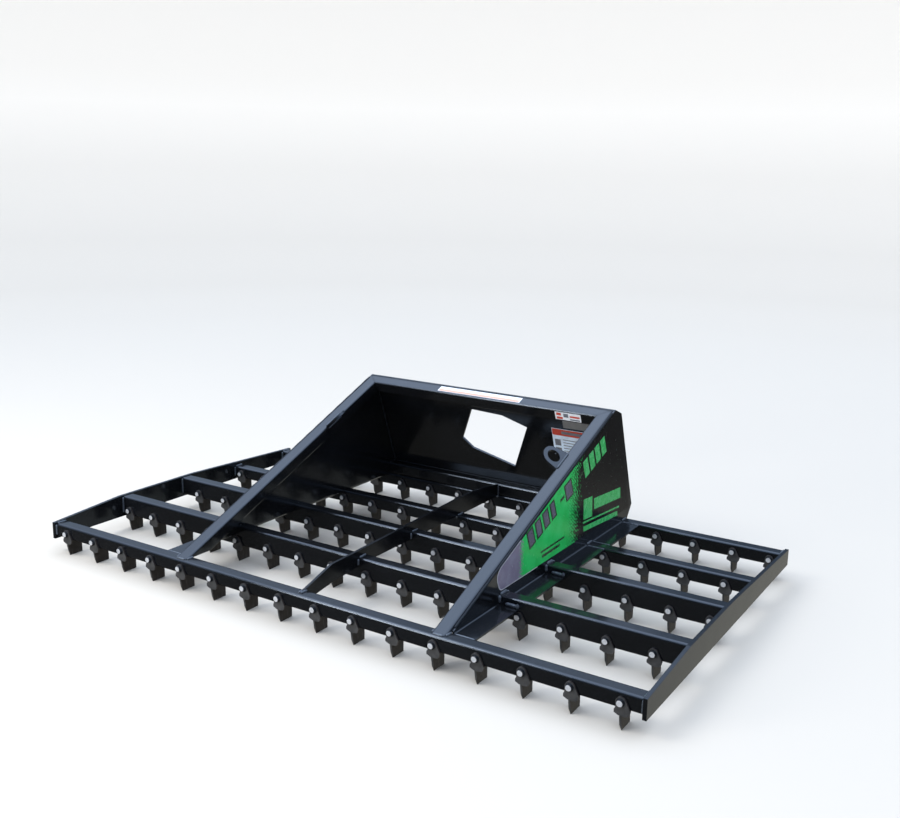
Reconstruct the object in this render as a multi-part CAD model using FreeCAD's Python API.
import FreeCAD, Part
import math
import os

os.makedirs("parts", exist_ok=True)
V = FreeCAD.Vector

# Lawn dethatcher: five rows of bolted tine plates under an open, bucket-like carrier that hangs on
# the quick-attach plate of a skid-steer or compact track loader. All lengths are millimetres.
# Working axes: X across (right positive), Y back from the front bolt heads, Z up from the tine tips.
# Every part is moved by half the depth on export, so the origin is the bottom centre of the box.

# ---- driving dimensions ----
DEPTH = 1411.0
WIDTH = 2438.4
END_THICK = 12.7
BAR_HALF = WIDTH / 2 - END_THICK

TUBE = 50.8                  # 2 in square tube
TALL_TUBE = 76.2             # 2 x 3 in tube under the bucket floor
WALL = 4.8
TUBE_R = 8.0

ROWS = 5
TALL_ROWS = (2, 3)
ROW_PITCH = 325.0
BAR_FRONT = 16.0
BAR_BOTTOM = 65.0
BAR_TOP = BAR_BOTTOM + TUBE
BOLT_Z = 87.0

TINES = 16
TINE_PITCH = 152.4
ROW_SHIFT = (0.0, -38.1, 38.1, -38.1, 38.1)
OUTER_TINE = 1167.0          # the end tine of a shifted row is moved inwards to here

SLOPE = 22.35                # rise of the side tubes, degrees
SLOPE_START_Z = 105.0        # height of the tubes' top plane over the front bolt heads
SLOPE_END = 1283.4           # length along the slope to the back of the top tube
INNER_X = 517.5              # inner face of a side tube
WEB_X = INNER_X + TUBE       # inner face of a side plate

SIDE_PLATE = 6.35
BEND_INNER_R = 6.0
FLANGE_TOP = 113.0
FLANGE_EDGE = 650.0
HEAVY_PLATE = 9.5

LEAN = 20.6                  # lean of the quick-attach plate, degrees
HOOK_FRONT = (1199.0, 593.0)
HOOK_REAR = (1259.0, 568.0)
PIN_LIP_REAR = (1411.0, 164.0)
PIN_LIP_FRONT = (1371.0, 110.0)
BACK_PLATE_TOP = (1230.4, 537.0)

CROSS_TUBE_Y = 1320.0

PIN_SLOT_X = 437.0
PIN_SLOT_W = 67.0
PIN_SLOT_D = 19.0
PIN_SLOT_START = 45.0        # along the lip from its front corner

# rim of the window as (x, height on the plate's front face), clockwise from its upper left corner
WINDOW = ((-94, 494), (52, 487), (163, 450), (73, 252), (-123, 307), (-167, 348))

BOLT_R = 6.35
HOLE_R = 6.75
HEX_FLATS = 19.05
HEAD_H = 7.7
WASHER_R = 13.0
WASHER_H = 2.0
TINE_PLATE = BAR_FRONT - HEAD_H - WASHER_H
NUT_H = 11.0
COLLAR_R = 8.6
COLLAR_H = 4.0
BOLT_OUT = 2.5               # thread beyond the lock nut

# tine outlines are drawn about the bolt axis
TINE_THICK = 6.4
TINE_TOP_R = 15.5
TINE_SHOULDER = 28.4         # where the rounded head runs into its long side, degrees
TINE_STEP_Z = -18.0
TINE_RIM = ((-19, -24), (-19, -33), (-5.5, -39), (9, -40.5), (22.5, -37.5), (26.5, -31), (29, -21))
BLADE_NECK_Z = -38.0
BLADE_TIP_Y = 20.0
BLADE_BACK_Y = 77.0
GRIND_Z = -70.0              # top of the chisel grind on the blade's left side
GRIND_EDGE = 1.0             # thickness left along the blade's lower edge

# outlines of the upright plates as (y, z)
END_PLATE_RIM = ((8, 56), (8, 120), (331, 144), (725, 144), (1378, 117), (1378, 56))
DIVIDER_FRONT = 35.0
DIVIDER_CREST = ((197, 165), (307, 167), (608, 175), (1000, 187), (1104, 187), (1225, 178))
DIVIDER_END = (164.0, 113.0)
DIVIDER_KEEL = ((391, 113), (194, 99), (109, 87), (60, 86), (DIVIDER_FRONT, 100))
SIDE_PLATE_FOOT_Z = 100.0
SIDE_PLATE_START_Z = 121.0

EYE_THICK = 11.0
EYE_TILT = 40.0
EYE_S = 927.0
EYE_BASE_S = (885.0, 985.0)
EYE_REACH = 31.0
EYE_HOLE_R = 25.0
EYE_OUTER_R = 41.0

OVER = 2.0                   # overrun of cutting tools


# ---- helpers ----
def box(x0, x1, y0, y1, z0, z1):
    return Part.makeBox(x1 - x0, y1 - y0, z1 - z0, V(x0, y0, z0))


def side_prism(points, x0, x1):
    """Solid between x0 and x1 from an outline given as (y, z) points."""
    corners = [V(x0, y, z) for y, z in points]
    face = Part.Face(Part.makePolygon(corners + corners[:1]))
    return face.extrude(V(x1 - x0, 0, 0))


def flat_prism(points, y0, y1):
    """Solid between y0 and y1 from an outline given as (x, z) points."""
    corners = [V(x, y0, z) for x, z in points]
    face = Part.Face(Part.makePolygon(corners + corners[:1]))
    return face.extrude(V(0, y1 - y0, 0))


def rounded_bar(size, run, low, high, radius):
    """Square bar along X or Y with its four long edges rounded."""
    bar = box(low[0], high[0], low[1], high[1], low[2], high[2])
    long_edges = [e for e in bar.Edges if abs(e.Length - size) < 0.001 and along(e, run)]
    return bar.makeFillet(radius, long_edges)


def along(edge, run):
    start, end = edge.Vertexes[0].Point, edge.Vertexes[-1].Point
    return abs((end - start).normalize().dot(run)) > 0.999


def tube(run, low, high):
    """Hollow rectangular tube with open ends, running along X or Y."""
    size = (V(*high) - V(*low)).dot(run)
    outer = rounded_bar(size, run, low, high, TUBE_R)
    grow = [OVER if run.dot(V(*axis)) > 0.5 else -WALL for axis in ((1, 0, 0), (0, 1, 0), (0, 0, 1))]
    inner_low = [a - g for a, g in zip(low, grow)]
    inner_high = [b + g for b, g in zip(high, grow)]
    inner = rounded_bar(size + 2 * OVER, run, inner_low, inner_high, TUBE_R - WALL)
    return outer.cut(inner)


def mirrored(shape):
    return shape.mirror(V(0, 0, 0), V(1, 0, 0))


def meet(p, p_dir, q, q_dir):
    """Point where two lines in the YZ plane cross."""
    cross = p_dir[0] * q_dir[1] - p_dir[1] * q_dir[0]
    t = ((q[0] - p[0]) * q_dir[1] - (q[1] - p[1]) * q_dir[0]) / cross
    return (p[0] + t * p_dir[0], p[1] + t * p_dir[1])


def step(p, direction, distance):
    return (p[0] + direction[0] * distance, p[1] + direction[1] * distance)


def unit(p, q):
    length = math.hypot(q[0] - p[0], q[1] - p[1])
    return ((q[0] - p[0]) / length, (q[1] - p[1]) / length)


def export(name, shape):
    placed = shape.copy()
    placed.translate(V(0, -DEPTH / 2, 0))
    placed.exportStep("parts/" + name + ".step")


# ---- rows ----
def row_front(row):
    return BAR_FRONT + (row - 1) * ROW_PITCH


def row_top(row):
    return BAR_BOTTOM + (TALL_TUBE if row in TALL_ROWS else TUBE)


def tine_positions(row):
    first = -TINE_PITCH * (TINES - 1) / 2 + ROW_SHIFT[row - 1]
    spots = [first + TINE_PITCH * i for i in range(TINES)]
    return [max(-OUTER_TINE, min(OUTER_TINE, x)) for x in spots]


def crossbar(row):
    y = row_front(row)
    bar = tube(V(1, 0, 0), (-BAR_HALF, y, BAR_BOTTOM), (BAR_HALF, y + TUBE, row_top(row)))
    drills = [
        Part.makeCylinder(HOLE_R, TUBE + 2 * OVER, V(x, y - OVER, BOLT_Z), V(0, 1, 0))
        for x in tine_positions(row)
    ]
    return bar.cut(Part.makeCompound(drills))


def bar_block(row):
    """Solid envelope of a crossbar, for notching the plates that cross it."""
    y = row_front(row)
    return box(-BAR_HALF, BAR_HALF, y, y + TUBE, BAR_BOTTOM - 2 * TUBE, row_top(row))


def bar_blocks():
    return Part.makeCompound([bar_block(row) for row in range(1, ROWS + 1)])


# ---- tines and their fasteners, drawn at the origin of a bolt: head face at y = 0 ----
def tine():
    front = HEAD_H + WASHER_H
    half = TINE_TOP_R
    tangent = math.radians(TINE_SHOULDER)
    tx, tz = half * math.cos(tangent), half * math.sin(tangent)
    arc = Part.Arc(V(tx, front, tz), V(0, front, half), V(-half, front, 0)).toShape()
    rim = [(-half, 0), (-half, TINE_STEP_Z)] + list(TINE_RIM) + [(tx, tz)]
    sides = Part.makePolygon([V(x, front, z) for x, z in rim])
    plate = Part.Face(Part.Wire([arc] + sides.Edges)).extrude(V(0, TINE_PLATE, 0))
    drill = Part.makeCylinder(HOLE_R, TINE_PLATE + 2 * OVER, V(0, front - OVER, 0), V(0, 1, 0))
    under_bar = BAR_BOTTOM - BOLT_Z
    tip = -BOLT_Z
    outline = [
        (BAR_FRONT - 1, under_bar),
        (front + 1, BLADE_NECK_Z),
        (BLADE_TIP_Y, tip),
        (BLADE_BACK_Y, tip),
        (BLADE_BACK_Y, under_bar),
    ]
    blade = side_prism(outline, -TINE_THICK / 2, TINE_THICK / 2)
    blade = blade.cut(grind_tool(tip))
    return plate.cut(drill).fuse(blade).removeSplitter()


def grind_tool(tip):
    """Wedge that sharpens the blade's lower edge from its left side."""
    left, edge = -TINE_THICK / 2, TINE_THICK / 2 - GRIND_EDGE
    below, beside = tip - OVER, left - OVER
    outline = [(left, GRIND_Z), (edge, tip), (edge, below), (beside, below), (beside, GRIND_Z)]
    return flat_prism(outline, 0, BLADE_BACK_Y + OVER)


def hexagon(height, y):
    corner = HEX_FLATS / math.sqrt(3)
    turns = [math.radians(60 * i) for i in range(6)]
    return flat_prism([(corner * math.cos(a), corner * math.sin(a)) for a in turns], y, y + height)


def tine_bolt():
    face_r = HEX_FLATS / 2 * 0.95
    chamfer = Part.makeCone(face_r, face_r + HEAD_H * math.sqrt(3), HEAD_H, V(0, 0, 0), V(0, 1, 0))
    head = hexagon(HEAD_H, 0).common(chamfer)
    length = WASHER_H + TINE_PLATE + TUBE + NUT_H + COLLAR_H + BOLT_OUT
    shank = Part.makeCylinder(BOLT_R, length, V(0, HEAD_H, 0), V(0, 1, 0))
    return head.fuse(shank)


def tine_washer():
    ring = Part.makeCylinder(WASHER_R, WASHER_H, V(0, HEAD_H, 0), V(0, 1, 0))
    return ring.cut(Part.makeCylinder(HOLE_R, WASHER_H, V(0, HEAD_H, 0), V(0, 1, 0)))


def tine_nut():
    seat = BAR_FRONT + TUBE
    collar = Part.makeCylinder(COLLAR_R, COLLAR_H, V(0, seat + NUT_H, 0), V(0, 1, 0))
    bore = Part.makeCylinder(BOLT_R, NUT_H + COLLAR_H, V(0, seat, 0), V(0, 1, 0))
    return hexagon(NUT_H, seat).fuse(collar).cut(bore)


def along_row(piece, row):
    copies = []
    for x in tine_positions(row):
        copy = piece.copy()
        copy.translate(V(x, (row - 1) * ROW_PITCH, BOLT_Z))
        copies.append(copy)
    return Part.makeCompound(copies)


# ---- rake frame ----
def end_plate():
    """Right end plate, which closes the ends of all crossbars."""
    return side_prism(END_PLATE_RIM, BAR_HALF, WIDTH / 2)


def center_divider():
    crest = [(DIVIDER_FRONT, BAR_TOP)] + list(DIVIDER_CREST)
    keel = [(CROSS_TUBE_Y, z) for z in DIVIDER_END] + list(DIVIDER_KEEL)
    plate = side_prism(crest + keel, -HEAVY_PLATE / 2, HEAVY_PLATE / 2)
    return plate.cut(bar_blocks()).removeSplitter()


def rear_cross_tube():
    y = CROSS_TUBE_Y
    return tube(V(1, 0, 0), (-WEB_X, y, BAR_TOP), (WEB_X, y + TUBE, BAR_TOP + TUBE))


# ---- bucket frame, laid out flat with y along the slope and then tipped up ----
def tipped(shape):
    shape.rotate(V(0, 0, 0), V(1, 0, 0), SLOPE)
    shape.translate(V(0, 0, SLOPE_START_Z))
    return shape


def miter_tool(outer_side):
    """Wedge that cuts the corner between side tube and top tube at 45 degrees."""
    near = (INNER_X - OVER, SLOPE_END - TUBE - OVER)
    far = (WEB_X + OVER, SLOPE_END + OVER)
    third = (far[0], near[1]) if outer_side else (near[0], far[1])
    corners = [V(x, y, -2 * TUBE) for x, y in (near, far, third)]
    return Part.Face(Part.makePolygon(corners + corners[:1])).extrude(V(0, 0, 3 * TUBE))


def side_tube():
    """Right side tube, from its foot on the front crossbar to the mitre."""
    flat = tube(V(0, 1, 0), (INNER_X, -TUBE, -TUBE), (WEB_X, SLOPE_END, 0))
    flat = flat.cut(miter_tool(False))
    foot_cut = box(INNER_X - OVER, WEB_X + OVER, -4 * TUBE, 4 * TUBE, -BAR_TOP, BAR_TOP)
    return tipped(flat).cut(foot_cut)


def top_tube():
    flat = tube(V(1, 0, 0), (-WEB_X, SLOPE_END - TUBE, -TUBE), (WEB_X, SLOPE_END, 0))
    miter = miter_tool(True)
    return tipped(flat.cut(miter).cut(mirrored(miter)))


def side_plate():
    """Right side plate: upright web with an out-turned foot, notched over the crossbars."""
    start = row_front(1) + TUBE
    outline = [(start, SIDE_PLATE_FOOT_Z), (start, SIDE_PLATE_START_Z), HOOK_FRONT, HOOK_REAR]
    outline += [PIN_LIP_REAR, PIN_LIP_FRONT, (PIN_LIP_FRONT[0], SIDE_PLATE_FOOT_Z)]
    bend_top = FLANGE_TOP + BEND_INNER_R
    outer_r = BEND_INNER_R + SIDE_PLATE
    y0, y1 = outline[0][0], PIN_LIP_REAR[0]
    web = box(WEB_X, WEB_X + SIDE_PLATE, y0, y1, bend_top, HOOK_FRONT[1])
    foot_end = row_front(ROWS)
    foot = box(WEB_X + outer_r, FLANGE_EDGE, y0, foot_end, FLANGE_TOP - SIDE_PLATE, FLANGE_TOP)
    center = V(WEB_X + outer_r, y0, bend_top)
    ring = Part.makeCylinder(outer_r, y1 - y0, center, V(0, 1, 0))
    ring = ring.cut(Part.makeCylinder(BEND_INNER_R, y1 - y0, center, V(0, 1, 0)))
    quarter = box(WEB_X, center.x, y0, y1, bend_top - outer_r, bend_top)
    bend = ring.common(quarter)
    behind_foot = box(WEB_X + SIDE_PLATE, FLANGE_EDGE, foot_end, y1, BAR_BOTTOM, bend_top)
    plate = web.fuse(bend).fuse(foot).common(side_prism(outline, WEB_X, FLANGE_EDGE))
    return plate.cut(bar_blocks()).cut(behind_foot).removeSplitter()


# ---- quick-attach plate ----
HOOK_RUN = unit(HOOK_FRONT, HOOK_REAR)
HOOK_DOWN = (HOOK_RUN[1], -HOOK_RUN[0])
HOOK_UNDER = step(HOOK_FRONT, HOOK_DOWN, HEAVY_PLATE)
LIP_RUN = unit(PIN_LIP_FRONT, PIN_LIP_REAR)
LIP_UP = (-LIP_RUN[1], LIP_RUN[0])
LIP_OVER = step(PIN_LIP_FRONT, LIP_UP, HEAVY_PLATE)
PLATE_DOWN = (math.sin(math.radians(LEAN)), -math.cos(math.radians(LEAN)))
PLATE_REAR = (math.cos(math.radians(LEAN)), math.sin(math.radians(LEAN)))


def back_plate():
    """Leaning plate between the hook flange and the pin lip, with the sight window."""
    behind = step(BACK_PLATE_TOP, PLATE_REAR, HEAVY_PLATE)
    outline = [
        meet(BACK_PLATE_TOP, PLATE_DOWN, HOOK_UNDER, HOOK_RUN),
        meet(behind, PLATE_DOWN, HOOK_UNDER, HOOK_RUN),
        meet(behind, PLATE_DOWN, LIP_OVER, LIP_RUN),
        meet(BACK_PLATE_TOP, PLATE_DOWN, LIP_OVER, LIP_RUN),
    ]
    return side_prism(outline, -WEB_X, WEB_X).cut(window_tool())


def window_tool():
    """Six-sided window, cut square to the plate."""
    cos_lean = math.cos(math.radians(LEAN))
    local = [(x, (z - BACK_PLATE_TOP[1]) / cos_lean) for x, z in WINDOW]
    tool = flat_prism(local, -TUBE / 2, TUBE)
    tool.rotate(V(0, 0, 0), V(1, 0, 0), LEAN)
    tool.translate(V(0, BACK_PLATE_TOP[0], BACK_PLATE_TOP[1]))
    return tool


def coupler_top_flange():
    """Hook that the loader's plate lifts under."""
    theta = math.radians(SLOPE)
    tube_back = (SLOPE_END * math.cos(theta), SLOPE_START_Z + SLOPE_END * math.sin(theta))
    tube_back_down = (math.sin(theta), -math.cos(theta))
    outline = [
        HOOK_FRONT,
        HOOK_REAR,
        step(HOOK_REAR, HOOK_DOWN, HEAVY_PLATE),
        meet(HOOK_UNDER, HOOK_RUN, tube_back, tube_back_down),
        step(tube_back, tube_back_down, WALL / 2),
    ]
    return side_prism(outline, -WEB_X, WEB_X)


def coupler_bottom_flange():
    """Lip with the two slots that take the loader's wedge pins."""
    tube_back = CROSS_TUBE_Y + TUBE
    outline = [
        PIN_LIP_FRONT,
        PIN_LIP_REAR,
        step(PIN_LIP_REAR, LIP_UP, HEAVY_PLATE),
        meet(LIP_OVER, LIP_RUN, (tube_back, 0), (0, 1)),
        (tube_back, PIN_LIP_FRONT[1]),
    ]
    lip = side_prism(outline, -WEB_X, WEB_X)
    low = step(PIN_LIP_FRONT, LIP_RUN, PIN_SLOT_START)
    high = step(low, LIP_RUN, PIN_SLOT_D)
    rim = [step(p, LIP_UP, reach) for p, reach in ((low, -OVER), (high, -OVER))]
    rim += [step(p, LIP_UP, HEAVY_PLATE + OVER) for p in (high, low)]
    for x in (-PIN_SLOT_X, PIN_SLOT_X):
        lip = lip.cut(side_prism(rim, x - PIN_SLOT_W / 2, x + PIN_SLOT_W / 2))
    return lip


# ---- tie-down eyes ----
def tie_down_eye():
    """Right eye plate, tilted inwards from the rounded inner corner of the side tube."""
    tilt = math.radians(EYE_TILT)
    corner_x = INNER_X + TUBE_R
    to_edge = TUBE_R * (math.cos(tilt) + math.sin(tilt))
    reach = EYE_REACH + to_edge
    left = EYE_S - EYE_OUTER_R
    center = V(EYE_S, reach, 0)
    spread = EYE_BASE_S[1] - EYE_S
    distance = math.hypot(spread, reach)
    lean = math.atan2(-reach, spread) + math.acos(EYE_OUTER_R / distance)
    touch = center + V(EYE_OUTER_R * math.cos(lean), EYE_OUTER_R * math.sin(lean), 0)
    arc = Part.Arc(touch, center + V(0, EYE_OUTER_R, 0), V(left, reach, 0)).toShape()
    rim = Part.makePolygon([V(left, reach, 0), V(left, 0, 0), V(EYE_BASE_S[1], 0, 0), touch])
    eye = Part.Face(Part.Wire([arc] + rim.Edges)).extrude(V(0, 0, EYE_THICK))
    eye = eye.cut(Part.makeCylinder(EYE_HOLE_R, EYE_THICK, center))
    eye.translate(V(0, 0, -EYE_THICK / 2))
    # local x runs up the slope, local y leans inwards and up
    up_slope = V(0, 1, 0)
    reach_dir = V(-math.cos(tilt), 0, math.sin(tilt))
    across = up_slope.cross(reach_dir)
    frame = FreeCAD.Matrix(
        up_slope.x, reach_dir.x, across.x, corner_x,
        up_slope.y, reach_dir.y, across.y, 0,
        up_slope.z, reach_dir.z, across.z, -TUBE_R,
        0, 0, 0, 1,
    )
    eye = eye.transformShape(frame, True)
    low, high = (INNER_X, 0, -TUBE), (WEB_X, SLOPE_END, 0)
    post = rounded_bar(SLOPE_END, V(0, 1, 0), low, high, TUBE_R)
    return tipped(eye.cut(post))


# ---- build ----
one_tine, one_bolt, one_washer, one_nut = tine(), tine_bolt(), tine_washer(), tine_nut()
for number in range(1, ROWS + 1):
    export("crossbar_row_%d" % number, crossbar(number))
    export("teeth_row_%d" % number, along_row(one_tine, number))
    export("tooth_bolts_row_%d" % number, along_row(one_bolt, number))
    export("tooth_washers_row_%d" % number, along_row(one_washer, number))
    export("tooth_nuts_row_%d" % number, along_row(one_nut, number))

for name, maker in (
    ("end_plate", end_plate),
    ("side_tube", side_tube),
    ("side_plate", side_plate),
    ("tie_down_eye", tie_down_eye),
):
    right = maker()
    export(name + "_right", right)
    export(name + "_left", mirrored(right))

export("center_divider", center_divider())
export("rear_cross_tube", rear_cross_tube())
export("top_tube", top_tube())
export("back_plate", back_plate())
export("coupler_top_flange", coupler_top_flange())
export("coupler_bottom_flange", coupler_bottom_flange())
